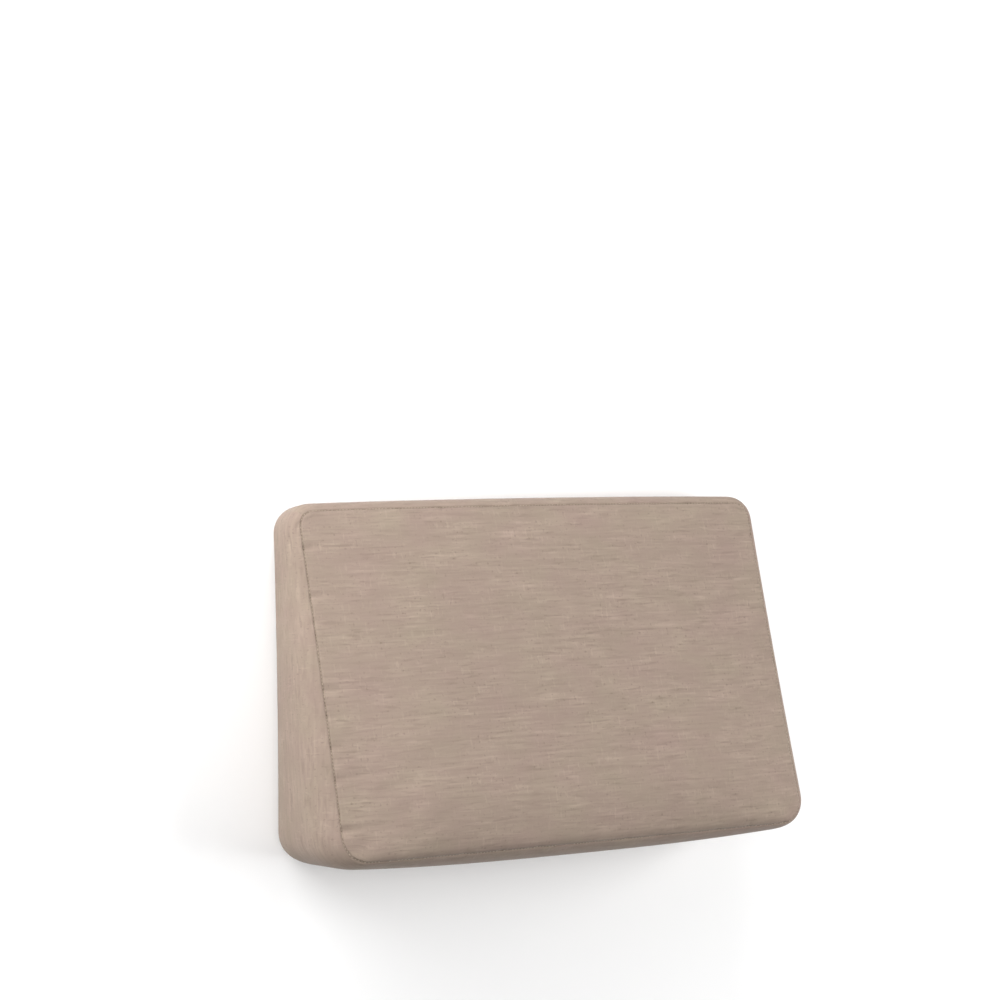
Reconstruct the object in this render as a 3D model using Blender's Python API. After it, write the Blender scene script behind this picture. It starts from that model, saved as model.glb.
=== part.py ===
"""Wedge-shaped back cushion with a boxing band, lying flat on its back.

Metres, +Z up. X runs across the cushion, +Y from its thick end (the lower edge in use) to its thin
end (the upper edge in use), and +Z out of its face. The origin is under the middle of its outline,
on the surface that it lies on.
"""

import math
from collections import namedtuple

import bmesh
import bpy
from mathutils import Vector

# Sewn size of the face panel and of the back panel, seam to seam
PANEL_WIDTH = 0.6076
PANEL_LENGTH = 0.3835
CORNER_THICK_END = 0.0285
CORNER_THIN_END = 0.0193

# Boxing band: its width between the two seams, and how far the back seam is behind the face seam
BOXING_THICK_END = 0.1596
BOXING_THIN_END = 0.0570
BOXING_LEAN = 0.0058
BOXING_SQUARENESS = 5.0

# The filling: how far the face's crown is over its seams at each end, and the back seam over the flat back
CROWN_THICK_END = 0.0180
CROWN_THIN_END = 0.0045
BACK_SEAM_HEIGHT = 0.0060
BACK_ROLL = 0.042
ROLL_POWER = 2.2

# One row for each edge of the panels.
# roll: how far in from the seam the face keeps rounding over
# steepness: 1 for a soft rounding, and 0.5 for one that turns over sharply at the seam
# draw_in: how far the seam is pulled in halfway along, where less than 0 bows out
# fullness: how far the band stands out past the seams, at the edge's middle or at its thick end
# fullness_end: the same at the edge's ends, or at its thin end
Edge = namedtuple("Edge", "roll steepness draw_in fullness fullness_end")
THICK_END = Edge(roll=0.070, steepness=0.5, draw_in=-0.0005, fullness=0.0160, fullness_end=0.0083)
THIN_END = Edge(roll=0.045, steepness=1.0, draw_in=-0.0020, fullness=0.0095, fullness_end=0.0095)
SIDE = Edge(roll=0.100, steepness=1.0, draw_in=0.0014, fullness=0.0224, fullness_end=0.0106)
DRAW_IN_REACH = 0.040
FULLNESS_POWER = 3

# Sewn seams: half the width of the groove that the stitching pulls in, and its depth
SEAM_LIP = 0.0035
SEAM_DEPTH = 0.0030

# Mesh: faces across, along and through the cushion, and how much finer they are next to the seams
FACES_ACROSS = 40
FACES_ALONG = 28
FACES_THROUGH = 12
GRADING_POWER = 1.5

# Taupe outdoor canvas
FABRIC_COLOUR = (0.434, 0.337, 0.275, 1.0)
FABRIC_ROUGHNESS = 0.92

HALF_WIDTH = PANEL_WIDTH / 2
HALF_LENGTH = PANEL_LENGTH / 2
ON_FACE = 1 - 1e-6


def clear_scene():
    for thing in list(bpy.data.objects):
        bpy.data.objects.remove(thing)


def gap_from_seam(share, faces, half_size):
    """Distance from the seam of the mesh line at a share of -1 to 1 of the size between two seams.

    The first line in from a seam is the lip of its groove, and the rest crowd towards it.
    """
    lines = faces / 2
    line = (1 - abs(share)) * lines
    if line < 1:
        return SEAM_LIP * line
    spread = (line - 1) / (lines - 1)
    return SEAM_LIP + (half_size - SEAM_LIP) * spread**GRADING_POWER


def rounded_corner(side_gap, end_gap, radius):
    """Gaps from the side and the end seam of a point that lies on a round corner instead of a square one.

    Also gives the outward direction there, as shares towards the side and towards the end.
    """
    ring = min(side_gap, end_gap)
    arc = radius - ring
    run = abs(side_gap - end_gap)
    by_side = side_gap < end_gap
    if run >= arc:
        return side_gap, end_gap, (1.0, 0.0) if by_side else (0.0, 1.0)
    turn = math.pi / 4 * (1 - run / arc)
    near, far = radius - arc * math.cos(turn), radius - arc * math.sin(turn)
    if by_side:
        return near, far, (math.cos(turn), math.sin(turn))
    return far, near, (math.sin(turn), math.cos(turn))


def by_seam(gap):
    """1 on the seam, fading to 0 where the panels are no longer drawn in."""
    return max(0.0, 1 - gap / DRAW_IN_REACH) ** 2


def on_panel(across, along, side_gap, end_gap):
    """Place in plan of a point of the panels, and the outward direction there."""
    radius = CORNER_THIN_END if along > 0 else CORNER_THICK_END
    side_gap, end_gap, outward = rounded_corner(side_gap, end_gap, radius)
    x = HALF_WIDTH - side_gap
    y = HALF_LENGTH - end_gap
    end = THIN_END if along > 0 else THICK_END
    side_share, end_share = x / HALF_WIDTH, y / HALF_LENGTH
    x -= SIDE.draw_in * by_seam(side_gap) * (1 - end_share**2)
    y -= end.draw_in * by_seam(end_gap) * (1 - side_share**2)
    place = Vector((math.copysign(x, across), math.copysign(y, along)))
    direction = Vector((math.copysign(outward[0], across), math.copysign(outward[1], along)))
    return place, direction


def thinness(y):
    """0 at the thick end's seam and 1 at the thin end's."""
    return (y + HALF_LENGTH) / PANEL_LENGTH


def boxing_width(y):
    return BOXING_THICK_END + (BOXING_THIN_END - BOXING_THICK_END) * thinness(y)


def risen(gap, roll, steepness=1.0):
    """Share of its full height that the filling has, a gap in from the seam."""
    return (1 - max(0.0, 1 - gap / roll) ** ROLL_POWER) ** steepness


def face_crown(y, side_gap, end_gap):
    """Height of the face over the plane of its seams."""
    end = THIN_END if y > 0 else THICK_END
    full = CROWN_THICK_END + (CROWN_THIN_END - CROWN_THICK_END) * thinness(y)
    return full * risen(side_gap, SIDE.roll, SIDE.steepness) * risen(end_gap, end.roll, end.steepness)


def band_fullness(place, outward):
    """How far the band stands out past the seams: a blend of its side's and its end's at a corner."""
    thin = thinness(place.y)
    side = SIDE.fullness + (SIDE.fullness_end - SIDE.fullness) * thin
    edge = THIN_END if place.y > 0 else THICK_END
    reach = abs(place.x / HALF_WIDTH) ** FULLNESS_POWER
    end = edge.fullness + (edge.fullness_end - edge.fullness) * reach
    return side * outward.x**2 + end * outward.y**2


def on_cushion(point):
    """Where a point of the cube from -1 to 1 lies on the cushion: face at the top, back at the bottom."""
    across, along, height = point
    side_gap = gap_from_seam(across, FACES_ACROSS, HALF_WIDTH)
    end_gap = gap_from_seam(along, FACES_ALONG, HALF_LENGTH)
    place, outward = on_panel(across, along, side_gap, end_gap)
    width = boxing_width(place.y)
    face_seam = BACK_SEAM_HEIGHT + width
    if height > ON_FACE:
        crown = face_crown(place.y, side_gap, end_gap)
        return Vector((place.x, place.y + BOXING_LEAN / 2, face_seam + crown))
    if height < -ON_FACE:
        crown = BACK_SEAM_HEIGHT * risen(side_gap, BACK_ROLL) * risen(end_gap, BACK_ROLL)
        return Vector((place.x, place.y - BOXING_LEAN / 2, BACK_SEAM_HEIGHT - crown))
    from_middle = math.copysign(1 - 2 * gap_from_seam(height, FACES_THROUGH, width / 2) / width, height)
    swell = 1 - abs(from_middle) ** BOXING_SQUARENESS
    plan = place + outward * band_fullness(place, outward) * swell
    z = (BACK_SEAM_HEIGHT + face_seam + width * from_middle) / 2
    return Vector((plan.x, plan.y + BOXING_LEAN / 2 * from_middle, z))


def gridded_cube():
    """A cube from -1 to 1 whose sides are grids, with the corners of its top and bottom edges given too."""
    bm = bmesh.new()
    bmesh.ops.create_cube(bm, size=2)
    for axis, faces in enumerate((FACES_ACROSS, FACES_ALONG, FACES_THROUGH)):
        rungs = [e for e in bm.edges if abs(e.verts[0].co[axis] - e.verts[1].co[axis]) > 1]
        bmesh.ops.subdivide_edges(bm, edges=rungs, cuts=faces - 1, use_grid_fill=True)
    seams = [v for v in bm.verts if abs(v.co.z) > ON_FACE and max(abs(v.co.x), abs(v.co.y)) > ON_FACE]
    return bm, seams


def sew_in(bm, seams):
    """Pulls the seams in between their lips, as the stitching does."""
    bm.normal_update()
    pulls = {vert: vert.normal * SEAM_DEPTH for vert in seams}
    for vert, pull in pulls.items():
        vert.co -= pull


def flatten_back(bm):
    """Makes one flat rectangle of the part of the back that touches the surface."""
    flat = [f for f in bm.faces if all(abs(v.co.z) < 1e-6 for v in f.verts)]
    bmesh.ops.dissolve_faces(bm, faces=flat, use_verts=True)


def centre_on_origin(bm):
    for axis in (0, 1):
        low = min(v.co[axis] for v in bm.verts)
        high = max(v.co[axis] for v in bm.verts)
        for vert in bm.verts:
            vert.co[axis] -= (low + high) / 2


def fabric():
    material = bpy.data.materials.new("taupe_canvas")
    material.use_nodes = True
    shader = material.node_tree.nodes["Principled BSDF"]
    shader.inputs["Base Color"].default_value = FABRIC_COLOUR
    shader.inputs["Roughness"].default_value = FABRIC_ROUGHNESS
    shader.inputs["Metallic"].default_value = 0.0
    return material


def build_cushion():
    bm, seams = gridded_cube()
    places = {vert: on_cushion(vert.co) for vert in bm.verts}
    for vert, place in places.items():
        vert.co = place
    sew_in(bm, seams)
    flatten_back(bm)
    centre_on_origin(bm)
    bmesh.ops.recalc_face_normals(bm, faces=bm.faces)
    mesh = bpy.data.meshes.new("cushion")
    bm.to_mesh(mesh)
    bm.free()
    mesh.shade_smooth()
    mesh.materials.append(fabric())
    cushion = bpy.data.objects.new("cushion", mesh)
    bpy.context.scene.collection.objects.link(cushion)
    return cushion


clear_scene()
build_cushion()
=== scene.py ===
"""Sewn wedge back cushion in taupe canvas, lying on its back, and a small pale studio for it.

Metres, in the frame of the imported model: X across the cushion, +Y from its thick lower edge to its
thin upper edge, +Z out of its face, and the surface that it lies on at height 0.
"""

import math
import random
from collections import namedtuple

import bmesh
import bpy
from bpy.props import FloatProperty, FloatVectorProperty, PointerProperty
from mathutils import Matrix, Vector


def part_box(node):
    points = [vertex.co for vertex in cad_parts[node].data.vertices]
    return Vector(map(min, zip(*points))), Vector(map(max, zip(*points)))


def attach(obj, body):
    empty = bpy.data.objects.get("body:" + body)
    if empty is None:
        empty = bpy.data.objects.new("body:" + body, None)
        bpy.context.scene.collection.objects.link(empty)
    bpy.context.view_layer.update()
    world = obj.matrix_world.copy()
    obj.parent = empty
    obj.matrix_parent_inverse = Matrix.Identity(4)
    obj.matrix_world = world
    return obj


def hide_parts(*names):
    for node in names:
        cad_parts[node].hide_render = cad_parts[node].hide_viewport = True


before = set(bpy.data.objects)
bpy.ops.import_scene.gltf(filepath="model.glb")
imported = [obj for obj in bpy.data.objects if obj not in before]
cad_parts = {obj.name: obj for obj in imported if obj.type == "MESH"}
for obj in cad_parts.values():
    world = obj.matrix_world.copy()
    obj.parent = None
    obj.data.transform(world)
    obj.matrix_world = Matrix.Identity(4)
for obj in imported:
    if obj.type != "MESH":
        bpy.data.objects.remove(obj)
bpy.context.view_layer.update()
SOLID_LOW, SOLID_HIGH = (Vector(corner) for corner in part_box("cushion"))
SOLID_SIZE = SOLID_HIGH - SOLID_LOW

bl_info = {
    "name": "Wedge back cushion",
    "version": (1, 0, 0),
    "blender": (4, 5, 0),
    "location": "View3D > Sidebar > Cushion",
    "description": "Makes a sewn wedge back cushion that lies on its back, and a small studio for it",
    "category": "Object",
}

MILLIMETRE = 0.001
NODE = "cushion"
BODY = "root"
COVER = "cushion_cover"
SEAM_NAMES = ("back_seam_stitches", "face_seam_stitches")
WEAVE_MAP = "weave"
SEWN_GROUP = "sewn"
EASED_GROUP = "eased"
GROOVE_GROUP = "groove"
ON_FACE = 1 - 1e-6
ON_SEAM = 1e-6

# The places of the cover's vertex groups in its mesh, in the order in which the groups are made
SEWN, EASED, GROOVE = 0, 1, 2

# How much wider and longer the solid is than its panels, because the band stands out past the seams
BANDS_ACROSS = 0.0417
BANDS_ALONG = 0.0301

# How the shape is blended, as in the solid
BOXING_SQUARENESS = 5.0
FULLNESS_POWER = 3
ROLL_POWER = 2.2
DRAW_IN_REACH = 0.040
LINE_CROWDING = 0.75

# A wave texture of scale 1 repeats once in this length
WAVE_PERIOD = 2 * math.pi / 20

# The threads are drawn at twice their real 0.6 mm, so that they show
THREAD_PITCH = 1.2 * MILLIMETRE

# The twist in the sewing thread, and the faint patches in the studio paper
PLY_SIZE = 0.8 * MILLIMETRE
FIBRE_PATCHES = 40 * MILLIMETRE

# One row for each kind of streak in the canvas: its usual length and thickness, and the detail of its noise
Streak = namedtuple("Streak", "length thickness detail")
LONG_YARNS = Streak(length=90 * MILLIMETRE, thickness=4.0 * MILLIMETRE, detail=1.0)
SHORT_YARNS = Streak(length=14 * MILLIMETRE, thickness=3.0 * MILLIMETRE, detail=1.0)
MELANGE = Streak(length=90 * MILLIMETRE, thickness=25 * MILLIMETRE, detail=2.0)
PALE_SLUBS = Streak(length=32 * MILLIMETRE, thickness=3.7 * MILLIMETRE, detail=0.0)
DARK_SLUBS = Streak(length=27 * MILLIMETRE, thickness=3.4 * MILLIMETRE, detail=0.0)
SPECKS = Streak(length=3.6 * MILLIMETRE, thickness=3.1 * MILLIMETRE, detail=0.0)
WARP_TICKS = Streak(length=3.4 * MILLIMETRE, thickness=11 * MILLIMETRE, detail=0.0)
LIVELY_PATCHES = Streak(length=50 * MILLIMETRE, thickness=28 * MILLIMETRE, detail=1.0)
DYE_PATCHES = Streak(length=70 * MILLIMETRE, thickness=45 * MILLIMETRE, detail=2.0)

# Stretches of yarn of one shade each: their usual length and thickness
Dash = namedtuple("Dash", "length thickness")
LONG_DASHES = Dash(length=46 * MILLIMETRE, thickness=2.9 * MILLIMETRE)
SHORT_DASHES = Dash(length=9 * MILLIMETRE, thickness=1.9 * MILLIMETRE)

# The noise that makes the stretches uneven: its size in stretches and in their thickness, and its strength
UNEVEN_LENGTH = 1.6
UNEVEN_THICKNESS = 0.37
UNEVENNESS = 1.5

# Where the noise of the sparse streaks starts to show, and where it shows in full
SLUB_SHOWS = (0.62, 0.86)
SPECK_SHOWS = (0.72, 0.90)
TICK_SHOWS = (0.68, 0.88)

# A small correction of the canvas's shade, because the sparse streaks move its middle
TONE_SHIFT = -0.015

# Where the band's sides and ends lie on the map of the weave, in widths of the panel from its middle
BAND_SIDES_PLACE = 2
BAND_ENDS_PLACE = 4

# The puckers that don't show in the photo: about how far apart they are, the seed of their places, where in
# its stretch of the seam each may lie, and the least and the most of their other sizes
PUCKER_SPACING = 0.055
PUCKER_SEED = 7
PUCKER_JITTER = (0.2, 0.8)
PUCKER_SLANT = (-0.005, 0.005)
PUCKER_REACH = (0.020, 0.045)
PUCKER_DEPTH = (0.0004, 0.0012)

# How fast a pucker gets shallower away from its seam, where 1 is evenly
PUCKER_FADE = 1.5

# How much shorter and broader the streaks of the weave look on the boxing band than on the face
BAND_SHORTENING = 1.4
BAND_BROADENING = 1.25

# The seed of how deep each stitch pulls the seam in, the share of them that pull it in hard, and the least
# and the most that each kind pulls, in depths of the groove
STITCHING_SEED = 3
TIGHT_STITCHES = 0.14
TIGHT_PULL = (1.4, 2.0)
LOOSE_PULL = (0.7, 1.1)

# How many frames the cover takes to fill out
CLOTH_FRAMES = 20

# What the camera and the lights face, and each softbox: name, place, size and power
AIM = Vector((0.0, 0.0024, 0.0567))
LIGHTS = (
    ("near_left_softbox", (-1.00, 0.60, 0.60), 0.7, 10.4),
    ("left_softbox", (-2.28, 0.0, 0.80), 1.6, 16.0),
    ("front_softbox", (-1.77, -0.31, 3.17), 2.0, 36.0),
    ("top_softbox", (0.0, 2.30, 0.68), 0.9, 27.0),
    ("right_softbox", (1.84, 0.0, 1.60), 1.6, 52.0),
)

# One row for each edge of the panels, as in the solid.
# roll: how far in from the seam the face keeps rounding over
# steepness: 1 for a soft rounding, and 0.5 for one that turns over sharply at the seam
# draw_in: how far the seam is pulled in halfway along, where less than 0 bows out
# fullness: how far the band stands out past the seams, at the edge's middle or at its thick end
# fullness_end: the same at the edge's ends, or at its thin end
Edge = namedtuple("Edge", "roll steepness draw_in fullness fullness_end")
THICK_END = Edge(roll=0.070, steepness=0.5, draw_in=-0.0005, fullness=0.0160, fullness_end=0.0083)
THIN_END = Edge(roll=0.045, steepness=1.0, draw_in=-0.0020, fullness=0.0095, fullness_end=0.0095)
SIDE = Edge(roll=0.100, steepness=1.0, draw_in=0.0014, fullness=0.0224, fullness_end=0.0106)

# One row for each pucker that shows in the photo where the face's cloth is eased into its left seam.
# place: along the seam, from the cushion's middle; slant: how far it drifts towards the thin end per reach
Pucker = namedtuple("Pucker", "place slant reach depth")
LEFT_PUCKERS = (
    Pucker(place=0.1495, slant=0.004, reach=0.030, depth=0.0034),
    Pucker(place=0.096, slant=0.006, reach=0.036, depth=0.0022),
    Pucker(place=0.067, slant=0.004, reach=0.028, depth=0.0016),
    Pucker(place=-0.006, slant=0.006, reach=0.055, depth=0.0030),
    Pucker(place=-0.035, slant=-0.004, reach=0.028, depth=0.0016),
    Pucker(place=-0.067, slant=0.003, reach=0.040, depth=0.0018),
    Pucker(place=-0.102, slant=0.012, reach=0.090, depth=0.0018),
    Pucker(place=-0.156, slant=0.006, reach=0.060, depth=0.0030),
)


def srgb(code):
    """Linear colour of an sRGB hex code."""
    channels = [int(code[start:start + 2], 16) / 255 for start in (1, 3, 5)]
    return tuple(c / 12.92 if c <= 0.04045 else ((c + 0.055) / 1.055) ** 2.4 for c in channels)


class CushionSizes(bpy.types.PropertyGroup):
    panel_width: FloatProperty(
        name="Panel width", description="Sewn width of the face and the back, seam to seam",
        default=SOLID_SIZE.x - BANDS_ACROSS, unit="LENGTH")
    panel_length: FloatProperty(
        name="Panel length", description="Sewn length of the face and the back, seam to seam",
        default=SOLID_SIZE.y - BANDS_ALONG, unit="LENGTH")
    corner_thick_end: FloatProperty(
        name="Lower corners", description="Radius of the panels' corners at the thick end",
        default=0.0285, unit="LENGTH")
    corner_thin_end: FloatProperty(
        name="Upper corners", description="Radius of the panels' corners at the thin end",
        default=0.0193, unit="LENGTH")
    boxing_thick_end: FloatProperty(
        name="Band at thick end", description="Width of the boxing band along the lower edge",
        default=0.1596, unit="LENGTH")
    boxing_thin_end: FloatProperty(
        name="Band at thin end", description="Width of the boxing band along the upper edge",
        default=0.0570, unit="LENGTH")
    boxing_lean: FloatProperty(
        name="Band lean", description="How far the back seam is behind the face seam towards the thick end",
        default=0.0058, unit="LENGTH")
    crown_thick_end: FloatProperty(
        name="Lower crown",
        description="Height of the face over its seams towards the thick end, before it fills out",
        default=0.0175, unit="LENGTH")
    crown_thin_end: FloatProperty(
        name="Upper crown",
        description="Height of the face over its seams towards the thin end, before it fills out",
        default=0.0035, unit="LENGTH")
    back_seam_height: FloatProperty(
        name="Back seam height", description="Height of the back seam over the flat of the back",
        default=0.0060, unit="LENGTH")
    back_roll: FloatProperty(
        name="Back roll", description="How far in from its seam the back keeps rounding over",
        default=0.042, unit="LENGTH")
    cloth_face: FloatProperty(
        name="Cloth mesh", description="Size of the cover's faces while it fills out",
        default=0.0060, unit="LENGTH")
    fill_out: FloatProperty(
        name="Fill out", description="The most that the cover may move as it fills out",
        default=0.0050, unit="LENGTH")
    pressure: FloatProperty(
        name="Pressure", description="How hard the filling presses on the cover", default=0.6)
    cloth_stiffness: FloatProperty(
        name="Cloth stiffness", description="How much the canvas resists stretching", default=60.0)
    cloth_bending: FloatProperty(
        name="Cloth bending", description="How much the canvas resists folding", default=1.0)
    ease: FloatProperty(
        name="Ease", description="How much longer the cloth is than the seam that it is eased into",
        default=0.015, subtype="FACTOR")
    ease_reach: FloatProperty(
        name="Ease reach", description="How far in from the seam the cloth is eased",
        default=0.050, unit="LENGTH")
    groove_width: FloatProperty(
        name="Seam groove width", description="Width of the seams' groove between its two lips",
        default=0.0020, unit="LENGTH")
    groove_depth: FloatProperty(
        name="Seam groove depth", description="Depth of the seams' groove under its lips",
        default=0.0024, unit="LENGTH")
    pucker_width: FloatProperty(
        name="Pucker width", description="Half the width of the puckers by the seams",
        default=0.0032, unit="LENGTH")
    stitch_pitch: FloatProperty(
        name="Stitch pitch", description="Distance from one stitch to the next",
        default=0.0040, unit="LENGTH")
    stitch_length: FloatProperty(
        name="Stitch length", description="Length of thread that shows in each stitch",
        default=0.0028, unit="LENGTH")
    thread_thickness: FloatProperty(
        name="Thread thickness", description="Diameter of the sewing thread",
        default=0.0008, unit="LENGTH")
    stitch_height: FloatProperty(
        name="Stitch height", description="Height of the stitches over the bottom of the groove",
        default=0.0018, unit="LENGTH")


class CushionColours(bpy.types.PropertyGroup):
    canvas: FloatVectorProperty(
        name="Canvas", description="Main colour of the woven canvas",
        default=srgb("#8F7F73"), subtype="COLOR")
    pale_yarn: FloatVectorProperty(
        name="Pale yarn", description="Colour of the thick pale stretches of yarn",
        default=srgb("#AB9A8B"), subtype="COLOR")
    dark_yarn: FloatVectorProperty(
        name="Dark yarn", description="Colour of the thin dark stretches of yarn",
        default=srgb("#6E6054"), subtype="COLOR")
    thread: FloatVectorProperty(
        name="Thread", description="Colour of the sewing thread",
        default=srgb("#A89A87"), subtype="COLOR")
    floor: FloatVectorProperty(
        name="Floor", description="Colour of the studio floor",
        default=srgb("#FAFAFA"), subtype="COLOR")


class StudioSettings(bpy.types.PropertyGroup):
    lens: FloatProperty(
        name="Lens", description="Focal length of the camera", default=90.0, unit="CAMERA")
    distance: FloatProperty(
        name="Distance", description="From the camera to the plane through the cushion's middle",
        default=2.937, unit="LENGTH")
    turn: FloatProperty(
        name="Turn", description="How far the camera stands round to the cushion's left side",
        default=math.radians(29.575), subtype="ANGLE", unit="ROTATION")
    pitch: FloatProperty(
        name="Pitch", description="How far the camera stands up towards the thin end",
        default=math.radians(-0.608), subtype="ANGLE", unit="ROTATION")
    roll: FloatProperty(
        name="Roll", description="How far the camera is turned about its own axis",
        default=math.radians(-1.318), subtype="ANGLE", unit="ROTATION")
    aside: FloatProperty(
        name="Aside", description="How far the camera is moved to its right, for the framing",
        default=-0.0408, unit="LENGTH")
    above: FloatProperty(
        name="Above", description="How far the camera is moved up, for the framing",
        default=0.2023, unit="LENGTH")
    floor_size: FloatProperty(
        name="Floor size", description="Length of each side of the floor", default=40.0, unit="LENGTH")
    surround: FloatProperty(
        name="Surround", description="Strength of the even light from all round", default=0.12)


def add_node(tree, kind, inputs=None, **settings):
    """Adds a node with its settings, and fills its inputs with values or with other nodes' outputs."""
    node = tree.nodes.new(kind)
    for name, value in settings.items():
        setattr(node, name, value)
    for name, value in (inputs or {}).items():
        if isinstance(value, bpy.types.NodeSocket):
            tree.links.new(value, node.inputs[name])
        else:
            node.inputs[name].default_value = value
    return node


def new_material(name):
    """An empty material's node tree, its Principled BSDF, and the material."""
    material = bpy.data.materials.new(name)
    material.use_nodes = True
    tree = material.node_tree
    return material, tree, tree.nodes["Principled BSDF"]


def streaks(tree, weave, length, thickness, detail):
    """Noise drawn out along the weft, from 0 to 1: real length and thickness of its streaks in metres."""
    stretched = add_node(
        tree, "ShaderNodeMapping", {"Vector": weave, "Scale": (1 / length, 1 / thickness, 1.0)}
    )
    noise = add_node(
        tree, "ShaderNodeTexNoise",
        {"Vector": stretched.outputs[0], "Scale": 1.0, "Detail": detail, "Roughness": 0.6},
        noise_dimensions="2D",
    )
    return noise.outputs["Fac"]


def dashes(tree, weave, length, thickness):
    """Stretches of yarn, each of one random shade from 0 to 1: their usual length and thickness in metres."""
    place = add_node(tree, "ShaderNodeSeparateXYZ", {"Vector": weave})
    row = add_node(tree, "ShaderNodeMath", {0: place.outputs["Y"], 1: thickness}, operation="SNAP").outputs[0]
    in_row = add_node(tree, "ShaderNodeCombineXYZ", {"X": place.outputs["X"], "Y": row}).outputs[0]
    # each row starts at a place of its own, and its stretches differ in length
    start = add_node(tree, "ShaderNodeTexWhiteNoise", {"W": row}, noise_dimensions="1D").outputs["Value"]
    uneven = streaks(tree, in_row, UNEVEN_LENGTH * length, UNEVEN_THICKNESS * thickness, 0.0)
    shift = add_node(
        tree, "ShaderNodeMath", {0: uneven, 1: UNEVENNESS, 2: start}, operation="MULTIPLY_ADD"
    ).outputs[0]
    along = add_node(
        tree, "ShaderNodeMath", {0: place.outputs["X"], 1: 1 / length, 2: shift}, operation="MULTIPLY_ADD"
    ).outputs[0]
    number = add_node(tree, "ShaderNodeMath", {0: along}, operation="FLOOR").outputs[0]
    stretch = add_node(tree, "ShaderNodeCombineXYZ", {"X": number, "Y": row}).outputs[0]
    return add_node(
        tree, "ShaderNodeTexWhiteNoise", {"Vector": stretch}, noise_dimensions="2D"
    ).outputs["Value"]


def beyond(tree, noise, start, full):
    """0 where the noise is under its start, rising to 1 where it is full."""
    return add_node(
        tree, "ShaderNodeMapRange", {"Value": noise, "From Min": start, "From Max": full},
        interpolation_type="SMOOTHSTEP",
    ).outputs[0]


def weighted_sum(tree, terms):
    """Sum of each output, less its middle value of one half, times its weight."""
    total = 0.0
    for output, weight in terms:
        centred = add_node(tree, "ShaderNodeMath", {0: output, 1: 0.5}, operation="SUBTRACT")
        added = add_node(
            tree, "ShaderNodeMath", {0: centred.outputs[0], 1: weight, 2: total},
            operation="MULTIPLY_ADD",
        )
        total = added.outputs[0]
    return total


def slub_canvas(colours):
    """Solution-dyed acrylic outdoor canvas: matt, with uneven yarns that draw thin streaks along the weft."""
    material, tree, shader = new_material("slub_canvas")
    weave = add_node(tree, "ShaderNodeUVMap", uv_map=WEAVE_MAP).outputs[0]
    # even yarns, their slow change of shade, and the sparse thick pale and thin dark stretches among them
    long_yarns = streaks(tree, weave, *LONG_YARNS)
    short_yarns = streaks(tree, weave, *SHORT_YARNS)
    melange = streaks(tree, weave, *MELANGE)
    pale_slubs = beyond(tree, streaks(tree, weave, *PALE_SLUBS), *SLUB_SHOWS)
    dark_slubs = beyond(tree, streaks(tree, weave, *DARK_SLUBS), *SLUB_SHOWS)
    specks = beyond(tree, streaks(tree, weave, *SPECKS), *SPECK_SHOWS)
    warp_ticks = beyond(tree, streaks(tree, weave, *WARP_TICKS), *TICK_SHOWS)
    long_dashes = dashes(tree, weave, *LONG_DASHES)
    short_dashes = dashes(tree, weave, *SHORT_DASHES)
    tone = weighted_sum(
        tree,
        (
            (long_yarns, 0.12), (melange, 0.10), (long_dashes, 0.065), (short_dashes, 0.055),
            (pale_slubs, 0.07), (dark_slubs, -0.10), (specks, -0.14), (warp_ticks, 0.07),
        ),
    )
    # some patches of the cloth are calmer than others
    liveliness = add_node(
        tree, "ShaderNodeMapRange",
        {
            "Value": streaks(tree, weave, *LIVELY_PATCHES),
            "From Min": 0.3, "From Max": 0.7, "To Min": 0.5, "To Max": 1.4,
        },
    ).outputs[0]
    # the slubs, specks and ticks count from 0 and not from one half, so the sum's middle isn't quite 0
    lifted = add_node(
        tree, "ShaderNodeMath", {0: tone, 1: liveliness, 2: 0.5 + TONE_SHIFT}, operation="MULTIPLY_ADD"
    ).outputs[0]
    ramp = add_node(tree, "ShaderNodeValToRGB", {"Fac": lifted})
    dark, middle = ramp.color_ramp.elements
    dark.position, middle.position = 0.05, 0.5
    pale = ramp.color_ramp.elements.new(0.95)
    dark.color = (*colours.dark_yarn, 1.0)
    middle.color = (*colours.canvas, 1.0)
    pale.color = (*colours.pale_yarn, 1.0)
    # the dye drifts a little between pinker and greener
    drift = add_node(
        tree, "ShaderNodeMapRange",
        {"Value": streaks(tree, weave, *DYE_PATCHES), "To Min": 0.482, "To Max": 0.518},
    ).outputs[0]
    dyed = add_node(tree, "ShaderNodeHueSaturation", {"Color": ramp.outputs["Color"], "Hue": drift})
    tree.links.new(dyed.outputs["Color"], shader.inputs["Base Color"])
    # the threads themselves, over and under each other
    over = add_node(
        tree, "ShaderNodeTexWave", {"Vector": weave, "Scale": WAVE_PERIOD / THREAD_PITCH},
        bands_direction="X",
    ).outputs["Fac"]
    under = add_node(
        tree, "ShaderNodeTexWave", {"Vector": weave, "Scale": WAVE_PERIOD / THREAD_PITCH},
        bands_direction="Y",
    ).outputs["Fac"]
    relief = weighted_sum(
        tree, ((long_yarns, 0.7), (short_yarns, 0.5), (pale_slubs, 0.6), (over, 0.25), (under, 0.35))
    )
    bump = add_node(
        tree, "ShaderNodeBump", {"Height": relief, "Distance": 0.15 * MILLIMETRE, "Strength": 0.6}
    )
    tree.links.new(bump.outputs["Normal"], shader.inputs["Normal"])
    shader.inputs["Roughness"].default_value = 0.9
    shader.inputs["IOR"].default_value = 1.48
    shader.inputs["Specular IOR Level"].default_value = 0.15
    shader.inputs["Sheen Weight"].default_value = 0.10
    shader.inputs["Sheen Roughness"].default_value = 0.4
    return material


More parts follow.
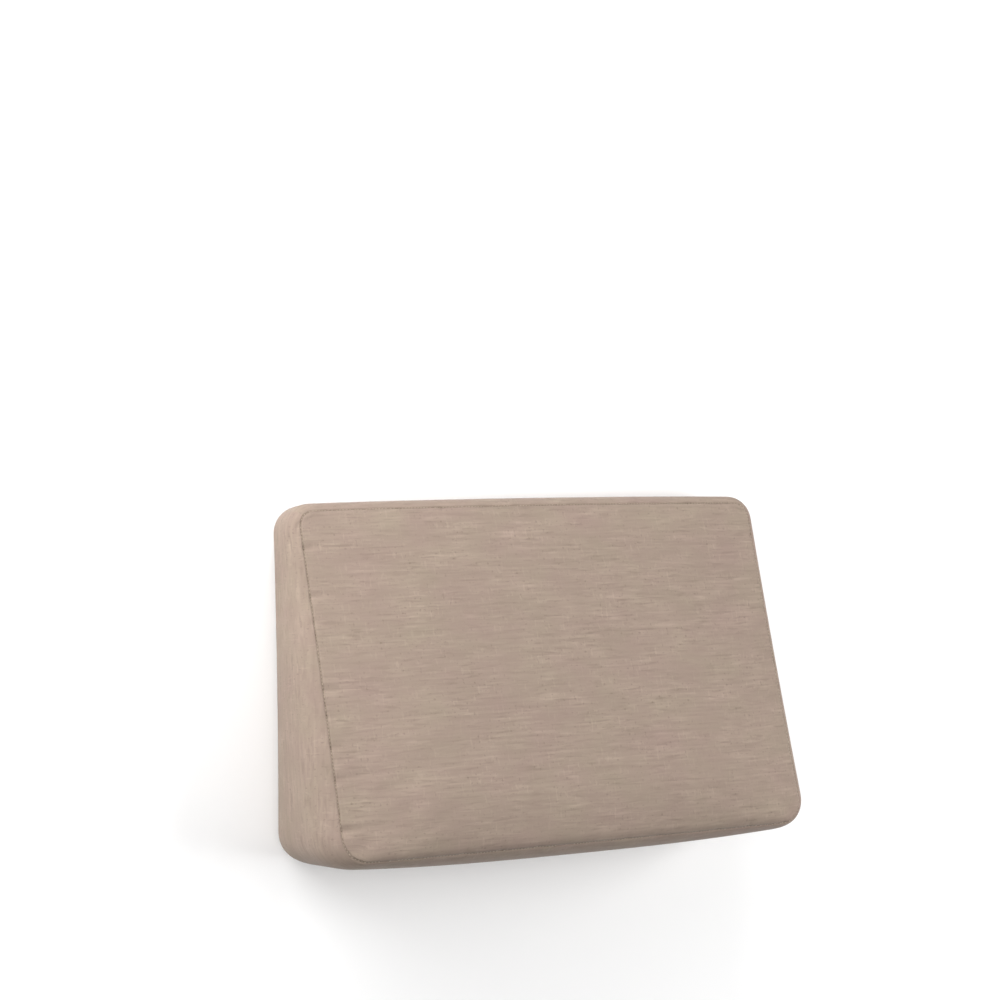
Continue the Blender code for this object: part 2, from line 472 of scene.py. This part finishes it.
def polyester_thread(colours):
    """Bonded polyester sewing thread: smoother than the canvas, so each stitch catches a little light."""
    material, tree, shader = new_material("polyester_thread")
    ply = add_node(
        tree, "ShaderNodeTexNoise",
        {
            "Vector": add_node(tree, "ShaderNodeTexCoord").outputs["Object"],
            "Scale": 1 / PLY_SIZE, "Detail": 1.0,
        },
    )
    shade = add_node(
        tree, "ShaderNodeHueSaturation",
        {
            "Color": (*colours.thread, 1.0),
            "Value": add_node(
                tree, "ShaderNodeMapRange", {"Value": ply.outputs["Fac"], "To Min": 0.8, "To Max": 1.2}
            ).outputs[0],
        },
    )
    tree.links.new(shade.outputs["Color"], shader.inputs["Base Color"])
    shader.inputs["Roughness"].default_value = 0.6
    shader.inputs["IOR"].default_value = 1.55
    return material


def paper_floor(colours):
    """Matt studio paper: plain and pale, with the faint unevenness of its fibres."""
    material, tree, shader = new_material("studio_paper")
    fibres = add_node(
        tree, "ShaderNodeTexNoise",
        {
            "Vector": add_node(tree, "ShaderNodeTexCoord").outputs["Object"],
            "Scale": 1 / FIBRE_PATCHES, "Detail": 3.0,
        },
    )
    shade = add_node(
        tree, "ShaderNodeHueSaturation",
        {
            "Color": (*colours.floor, 1.0),
            "Value": add_node(
                tree, "ShaderNodeMapRange",
                {"Value": fibres.outputs["Fac"], "To Min": 0.995, "To Max": 1.005},
            ).outputs[0],
        },
    )
    tree.links.new(shade.outputs["Color"], shader.inputs["Base Color"])
    shader.inputs["Roughness"].default_value = 0.95
    return material


def rounded_corner(side_gap, end_gap, radius):
    """Gaps from the side and the end seam of a point that lies on a round corner instead of a square one.

    Also gives the outward direction there, as shares towards the side and towards the end.
    """
    ring = min(side_gap, end_gap)
    arc = radius - ring
    run = abs(side_gap - end_gap)
    by_side = side_gap < end_gap
    if run >= arc:
        return side_gap, end_gap, (1.0, 0.0) if by_side else (0.0, 1.0)
    turn = math.pi / 4 * (1 - run / arc)
    near, far = radius - arc * math.cos(turn), radius - arc * math.sin(turn)
    if by_side:
        return near, far, (math.cos(turn), math.sin(turn))
    return far, near, (math.sin(turn), math.cos(turn))


def by_seam(gap):
    """1 on the seam, fading to 0 where the panels are no longer drawn in."""
    return max(0.0, 1 - gap / DRAW_IN_REACH) ** 2


def gap_from_seam(share, half_size):
    """Distance from the seam of the mesh line at a share of -1 to 1 of the size between two seams.

    The lines crowd a little towards the seams, where the cloth puckers.
    """
    spread = 1 - abs(share)
    return half_size * spread * (LINE_CROWDING + (1 - LINE_CROWDING) * spread)


def on_panel(sizes, across, along):
    """Place in plan of a point of the panels, its gaps from the side and the end, and the way outward."""
    half_width, half_length = sizes.panel_width / 2, sizes.panel_length / 2
    side_gap, end_gap = gap_from_seam(across, half_width), gap_from_seam(along, half_length)
    radius = sizes.corner_thin_end if along > 0 else sizes.corner_thick_end
    near_side, near_end, outward = rounded_corner(side_gap, end_gap, radius)
    x = half_width - near_side
    y = half_length - near_end
    end = THIN_END if along > 0 else THICK_END
    x -= SIDE.draw_in * by_seam(near_side) * (1 - (y / half_length) ** 2)
    y -= end.draw_in * by_seam(near_end) * (1 - (x / half_width) ** 2)
    place = Vector((math.copysign(x, across), math.copysign(y, along)))
    direction = Vector((math.copysign(outward[0], across), math.copysign(outward[1], along)))
    return place, side_gap, end_gap, direction


def boxing_width(sizes, y):
    thin = y / sizes.panel_length + 0.5
    return sizes.boxing_thick_end + (sizes.boxing_thin_end - sizes.boxing_thick_end) * thin


def risen(gap, roll, steepness=1.0):
    """Share of its full height that the filling has, a gap in from the seam."""
    return (1 - max(0.0, 1 - gap / roll) ** ROLL_POWER) ** steepness


def band_fullness(sizes, place, outward):
    """How far the band stands out past the seams: a blend of its side's and its end's at a corner."""
    thin = place.y / sizes.panel_length + 0.5
    side = SIDE.fullness + (SIDE.fullness_end - SIDE.fullness) * thin
    edge = THIN_END if place.y > 0 else THICK_END
    reach = abs(2 * place.x / sizes.panel_width) ** FULLNESS_POWER
    end = edge.fullness + (edge.fullness_end - edge.fullness) * reach
    return side * outward.x**2 + end * outward.y**2


def on_cushion(sizes, point):
    """Where a point of the cube from -1 to 1 lies on the cushion, and how far it is from a seam."""
    across, along, height = point
    place, side_gap, end_gap, outward = on_panel(sizes, across, along)
    width = boxing_width(sizes, place.y)
    if height > ON_FACE:
        end = THIN_END if along > 0 else THICK_END
        thin = place.y / sizes.panel_length + 0.5
        crown = sizes.crown_thick_end + (sizes.crown_thin_end - sizes.crown_thick_end) * thin
        crown *= risen(side_gap, SIDE.roll, SIDE.steepness) * risen(end_gap, end.roll, end.steepness)
        z = sizes.back_seam_height + width + crown
        return Vector((place.x, place.y + sizes.boxing_lean / 2, z)), min(side_gap, end_gap)
    if height < -ON_FACE:
        flat = risen(side_gap, sizes.back_roll) * risen(end_gap, sizes.back_roll)
        z = sizes.back_seam_height * (1 - flat)
        return Vector((place.x, place.y - sizes.boxing_lean / 2, z)), min(side_gap, end_gap)
    gap = gap_from_seam(height, width / 2)
    offset = from_middle(height, width / 2)
    outwardness = 1 - abs(2 * offset / width) ** BOXING_SQUARENESS
    plan = place + outward * band_fullness(sizes, place, outward) * outwardness
    z = sizes.back_seam_height + width / 2 + offset
    return Vector((plan.x, plan.y + sizes.boxing_lean * offset / width, z)), gap


def gridded_cube(counts):
    """A cube from -1 to 1 whose sides are grids, with so many faces along each axis."""
    bm = bmesh.new()
    bmesh.ops.create_cube(bm, size=2)
    for axis, count in enumerate(counts):
        rungs = [e for e in bm.edges if abs(e.verts[0].co[axis] - e.verts[1].co[axis]) > 1]
        bmesh.ops.subdivide_edges(bm, edges=rungs, cuts=count - 1, use_grid_fill=True)
    bm.normal_update()
    return bm


def from_middle(share, half_size):
    return math.copysign(half_size - gap_from_seam(share, half_size), share)


def weave_place(sizes, point, normal):
    """Where a point of the gridded cube lies on its own flat panel of canvas, the weft running along first.

    The weft runs across the face and the back, and along the boxing band.
    """
    x = from_middle(point.x, sizes.panel_width / 2)
    y = from_middle(point.y, sizes.panel_length / 2)
    if abs(normal.z) > 0.5:
        return x, y + math.copysign(sizes.panel_length, normal.z)
    across = from_middle(point.z, boxing_width(sizes, y) / 2) / BAND_BROADENING
    if abs(normal.y) > 0.5:
        return x * BAND_SHORTENING + math.copysign(BAND_ENDS_PLACE * sizes.panel_width, normal.y), across
    return y * BAND_SHORTENING + math.copysign(BAND_SIDES_PLACE * sizes.panel_width, normal.x), across


def lay_out_weave(sizes, bm):
    """Gives the cube its map of the weave, in metres: each panel is cut from the cloth on its own."""
    weave = bm.loops.layers.uv.new(WEAVE_MAP)
    for face in bm.faces:
        for loop in face.loops:
            loop[weave].uv = weave_place(sizes, loop.vert.co, face.normal)


def mesh_object(name, bm, material):
    mesh = bpy.data.meshes.new(name)
    bm.to_mesh(mesh)
    bm.free()
    mesh.shade_smooth()
    mesh.materials.append(material)
    thing = bpy.data.objects.new(name, mesh)
    bpy.context.scene.collection.objects.link(thing)
    return thing


def centre_over_solid(bm):
    """Moves the cover in plan so that its box has the same middle as the solid's."""
    middle = Vector((0.0, 0.0, 0.0))
    for axis in (0, 1):
        places = [vert.co[axis] for vert in bm.verts]
        middle[axis] = (SOLID_LOW[axis] + SOLID_HIGH[axis] - min(places) - max(places)) / 2
    bmesh.ops.translate(bm, verts=bm.verts, vec=middle)


def sewn_cover(sizes, material):
    """The cover as it is sewn: its face, band and back, with its seams and the eased cloth marked."""
    usual_band = (sizes.boxing_thick_end + sizes.boxing_thin_end) / 2
    counts = [
        2 * round(length / sizes.cloth_face / 2)
        for length in (sizes.panel_width, sizes.panel_length, usual_band)
    ]
    bm = gridded_cube(counts)
    lay_out_weave(sizes, bm)
    groups = bm.verts.layers.deform.new()
    for vert in bm.verts:
        vert.co, gap = on_cushion(sizes, vert.co)
        vert[groups][SEWN] = 1.0 if gap < ON_SEAM else 0.0
        vert[groups][EASED] = max(0.0, 1 - gap / sizes.ease_reach)
    centre_over_solid(bm)
    cover = mesh_object(COVER, bm, material)
    cover.vertex_groups.new(name=SEWN_GROUP)
    cover.vertex_groups.new(name=EASED_GROUP)
    return cover


def evaluated_places(thing):
    depsgraph = bpy.context.evaluated_depsgraph_get()
    return [v.co.copy() for v in thing.evaluated_get(depsgraph).data.vertices]


def fill_out(cover, sizes):
    """Lets the cover swell between its sewn seams, and softly limits how far each point moves."""
    cloth = cover.modifiers.new("filling", "CLOTH")
    settings = cloth.settings
    settings.vertex_group_mass = SEWN_GROUP
    settings.vertex_group_shrink = EASED_GROUP
    settings.shrink_max = -sizes.ease
    settings.quality = 6
    settings.tension_stiffness = sizes.cloth_stiffness
    settings.compression_stiffness = sizes.cloth_stiffness
    settings.bending_stiffness = sizes.cloth_bending
    settings.air_damping = 2.0
    settings.use_pressure = True
    settings.uniform_pressure_force = sizes.pressure
    settings.effector_weights.gravity = 0.0
    for number in range(1, CLOTH_FRAMES + 1):
        bpy.context.scene.frame_set(number)
    filled = evaluated_places(cover)
    cover.modifiers.remove(cloth)
    bpy.context.scene.frame_set(1)
    for vert, place in zip(cover.data.vertices, filled):
        move = place - vert.co
        vert.co += move / (1 + move.length / sizes.fill_out)


def subdivide(cover):
    """Halves the cover's faces and keeps the result as its mesh."""
    finer = cover.modifiers.new("finer", "SUBSURF")
    finer.levels = finer.render_levels = 1
    depsgraph = bpy.context.evaluated_depsgraph_get()
    mesh = bpy.data.meshes.new_from_object(cover.evaluated_get(depsgraph), depsgraph=depsgraph)
    cover.modifiers.remove(finer)
    coarse = cover.data
    cover.data = mesh
    bpy.data.meshes.remove(coarse)


def sew_seams(cover, sizes):
    """Draws the seams in to a narrow groove, and lays the back flat on the surface."""
    bm = bmesh.new()
    bm.from_mesh(cover.data)
    groups = bm.verts.layers.deform.verify()
    sewn = {v for v in bm.verts if v[groups].get(SEWN, 0.0) > 0.99}
    seams = [e for e in bm.edges if e.verts[0] in sewn and e.verts[1] in sewn]
    lips = bmesh.ops.bevel(
        bm, geom=seams, offset=sizes.groove_width / 2, offset_type="OFFSET", segments=2, profile=0.5,
        affect="EDGES", material=-1,
    )
    bm.normal_update()
    groove = set(lips["faces"])
    bottom = [v for v in lips["verts"] if all(f in groove for f in v.link_faces)]
    chance = random.Random(STITCHING_SEED)
    pulls = {}
    for vert in bottom:
        tight = chance.random() < TIGHT_STITCHES
        pull = chance.uniform(*TIGHT_PULL) if tight else chance.uniform(*LOOSE_PULL)
        pulls[vert] = vert.normal * sizes.groove_depth * pull
    for vert, pull in pulls.items():
        vert.co -= pull
    for vert in bm.verts:
        vert.co.z = max(vert.co.z, 0.0)
        vert[groups][GROOVE] = 1.0 if vert in pulls else 0.0
    bm.to_mesh(cover.data)
    bm.free()
    cover.vertex_groups.new(name=GROOVE_GROUP)


def every_pucker(sizes):
    """The puckers along each seam of the face: those in the photo, and seeded ones elsewhere."""
    chance = random.Random(PUCKER_SEED)
    rows = {"left": list(LEFT_PUCKERS)}
    lengths = {"right": sizes.panel_length, "thick": sizes.panel_width, "thin": sizes.panel_width}
    for name, length in lengths.items():
        count = round(length / PUCKER_SPACING)
        rows[name] = [
            Pucker(
                place=length * ((number + chance.uniform(*PUCKER_JITTER)) / count - 0.5),
                slant=chance.uniform(*PUCKER_SLANT),
                reach=chance.uniform(*PUCKER_REACH),
                depth=chance.uniform(*PUCKER_DEPTH),
            )
            for number in range(count)
        ]
    return rows


def sunk(puckers, place, gap, width):
    """How far the cloth sinks into a row of puckers, at a place along the seam and a gap in from it."""
    depth = 0.0
    for pucker in puckers:
        in_reach = max(0.0, 1 - gap / pucker.reach)
        aside = (place - pucker.place - pucker.slant * (1 - in_reach)) / width
        depth += pucker.depth * in_reach**PUCKER_FADE * math.exp(-aside**2)
    return depth


def pucker_face(cover, sizes):
    """Sinks short creases into the face where its cloth is eased into the seams."""
    rows = every_pucker(sizes)
    mesh = cover.data
    weave = mesh.uv_layers[WEAVE_MAP].data
    flat_places = {}
    for loop in mesh.loops:
        x, y = weave[loop.index].uv
        y -= sizes.panel_length
        if abs(x) < sizes.panel_width and abs(y) < sizes.panel_length:
            flat_places[loop.vertex_index] = x, y
    normals = [vert.normal.copy() for vert in mesh.vertices]
    for index, (x, y) in flat_places.items():
        side_gap, end_gap = sizes.panel_width / 2 - abs(x), sizes.panel_length / 2 - abs(y)
        depth = sunk(rows["left" if x < 0 else "right"], y, side_gap, sizes.pucker_width)
        depth += sunk(rows["thin" if y > 0 else "thick"], x, end_gap, sizes.pucker_width)
        mesh.vertices[index].co -= normals[index] * depth


def stitched(run, name, sizes, material):
    """A row of stitches along a closed run, each a short stretch of thread that dips in at its ends."""
    radius = sizes.thread_thickness / 2
    bm = bmesh.new()
    bmesh.ops.create_uvsphere(
        bm, u_segments=6, v_segments=4, radius=1.0,
        matrix=Matrix.Diagonal((sizes.stitch_length / 2, radius, radius, 1.0)),
    )
    stitch = bpy.data.meshes.new("stitch")
    bm.to_mesh(stitch)
    bm.clear()
    closed = run + run[:1]
    travelled, due = 0.0, sizes.stitch_pitch / 2
    for (start, up), (end, _) in zip(closed, closed[1:]):
        step = end - start
        while due <= travelled + step.length:
            along = step.normalized()
            side = up.cross(along).normalized()
            turn = Matrix((along, side, along.cross(side))).transposed().to_4x4()
            place = start + along * (due - travelled) + up * sizes.stitch_height
            laid = Matrix.Translation(place) @ turn
            stitch.transform(laid)
            bm.from_mesh(stitch)
            stitch.transform(laid.inverted())
            due += sizes.stitch_pitch
        travelled += step.length
    bpy.data.meshes.remove(stitch)
    return mesh_object(name, bm, material)


def groove_runs(cover):
    """The closed runs of the grooves' bottoms, as places and outward directions: the back seam's first."""
    bm = bmesh.new()
    bm.from_mesh(cover.data)
    groups = bm.verts.layers.deform.verify()
    groove = cover.vertex_groups[GROOVE_GROUP].index
    left = {v for v in bm.verts if v[groups].get(groove, 0.0) > 0.5}
    runs = []
    while left:
        first = min(left, key=lambda v: (v.co.x, v.co.y, v.co.z))
        run = [first]
        left.discard(first)
        while True:
            ahead = [e.other_vert(run[-1]) for e in run[-1].link_edges if e.other_vert(run[-1]) in left]
            if not ahead:
                break
            run.append(min(ahead, key=lambda v: (v.co.x, v.co.y)))
            left.discard(run[-1])
        runs.append([(v.co.copy(), v.normal.copy()) for v in run])
    bm.free()
    return sorted(runs, key=lambda run: max(place.z for place, _ in run))


def add_light(name, place, size, power):
    """A square softbox that faces the cushion."""
    light = bpy.data.lights.new(name, "AREA")
    light.size = size
    light.energy = power
    lamp = bpy.data.objects.new(name, light)
    lamp.location = place
    lamp.rotation_euler = (AIM - Vector(place)).to_track_quat("-Z", "Y").to_euler()
    bpy.context.scene.collection.objects.link(lamp)


def add_camera(studio):
    """The photo's view: from the cushion's left, square to its back but for a few degrees."""
    around = Matrix.Rotation(-studio.turn, 3, "Y") @ Matrix.Rotation(-studio.pitch, 3, "X")
    around = around @ Matrix.Rotation(studio.roll, 3, "Z")
    camera = bpy.data.cameras.new("photo_camera")
    camera.lens = studio.lens
    camera.clip_end = 100.0
    holder = bpy.data.objects.new("photo_camera", camera)
    holder.location = AIM + around @ Vector((studio.aside, studio.above, studio.distance))
    holder.rotation_euler = around.to_euler()
    bpy.context.scene.collection.objects.link(holder)
    bpy.context.scene.camera = holder


class CUSHION_OT_cover(bpy.types.Operator):
    """Sews the canvas cover, lets it fill out over the wedge and draws its seams in"""
    bl_idname = "cushion.make_cover"
    bl_label = "Cover"

    def execute(self, context):
        sizes = context.scene.cushion_sizes
        cover = sewn_cover(sizes, slub_canvas(context.scene.cushion_colours))
        fill_out(cover, sizes)
        subdivide(cover)
        pucker_face(cover, sizes)
        sew_seams(cover, sizes)
        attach(cover, BODY)
        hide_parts(NODE)
        return {"FINISHED"}


class CUSHION_OT_stitching(bpy.types.Operator):
    """Lays the row of stitches in the bottom of each seam's groove"""
    bl_idname = "cushion.make_stitching"
    bl_label = "Stitching"

    def execute(self, context):
        cover = bpy.data.objects.get(COVER)
        if cover is None:
            raise RuntimeError("make the cover before its stitching")
        runs = groove_runs(cover)
        if len(runs) != len(SEAM_NAMES):
            raise RuntimeError(f"the cover has {len(runs)} seams and not {len(SEAM_NAMES)}")
        thread = polyester_thread(context.scene.cushion_colours)
        for name, run in zip(SEAM_NAMES, runs):
            stitches = stitched(run, name, context.scene.cushion_sizes, thread)
            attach(stitches, BODY)
        return {"FINISHED"}


class CUSHION_OT_studio(bpy.types.Operator):
    """Sets up the pale floor, the soft light and the camera"""
    bl_idname = "cushion.make_studio"
    bl_label = "Studio"

    def execute(self, context):
        scene = context.scene
        studio = scene.cushion_studio
        bm = bmesh.new()
        bmesh.ops.create_grid(bm, x_segments=1, y_segments=1, size=studio.floor_size / 2)
        floor = mesh_object("studio_floor", bm, paper_floor(scene.cushion_colours))
        for light in LIGHTS:
            add_light(*light)
        world = bpy.data.worlds.new("studio_light")
        world.use_nodes = True
        background = world.node_tree.nodes["Background"]
        background.inputs["Color"].default_value = (1.0, 1.0, 1.0, 1.0)
        background.inputs["Strength"].default_value = studio.surround
        scene.world = world
        scene.view_settings.view_transform = "Standard"
        add_camera(studio)
        return {"FINISHED"}


class CUSHION_PT_panel(bpy.types.Panel):
    """Makes the cushion and its studio, with their sizes and colours"""
    bl_idname = "CUSHION_PT_panel"
    bl_label = "Back cushion"
    bl_space_type = "VIEW_3D"
    bl_region_type = "UI"
    bl_category = "Cushion"

    def draw(self, context):
        for operator in OPERATORS:
            self.layout.operator(operator.bl_idname)
        scene = context.scene
        for group in (scene.cushion_sizes, scene.cushion_colours, scene.cushion_studio):
            for name in group.bl_rna.properties.keys():
                if name not in ("rna_type", "name"):
                    self.layout.prop(group, name)


OPERATORS = (CUSHION_OT_cover, CUSHION_OT_stitching, CUSHION_OT_studio)
CLASSES = (CushionSizes, CushionColours, StudioSettings, *OPERATORS, CUSHION_PT_panel)


def register():
    for kind in CLASSES:
        bpy.utils.register_class(kind)
    bpy.types.Scene.cushion_sizes = PointerProperty(type=CushionSizes)
    bpy.types.Scene.cushion_colours = PointerProperty(type=CushionColours)
    bpy.types.Scene.cushion_studio = PointerProperty(type=StudioSettings)


def unregister():
    del bpy.types.Scene.cushion_studio
    del bpy.types.Scene.cushion_colours
    del bpy.types.Scene.cushion_sizes
    for kind in reversed(CLASSES):
        bpy.utils.unregister_class(kind)


def main():
    register()
    bpy.ops.cushion.make_cover()
    bpy.ops.cushion.make_stitching()
    bpy.ops.cushion.make_studio()


if __name__ == "__main__":
    main()
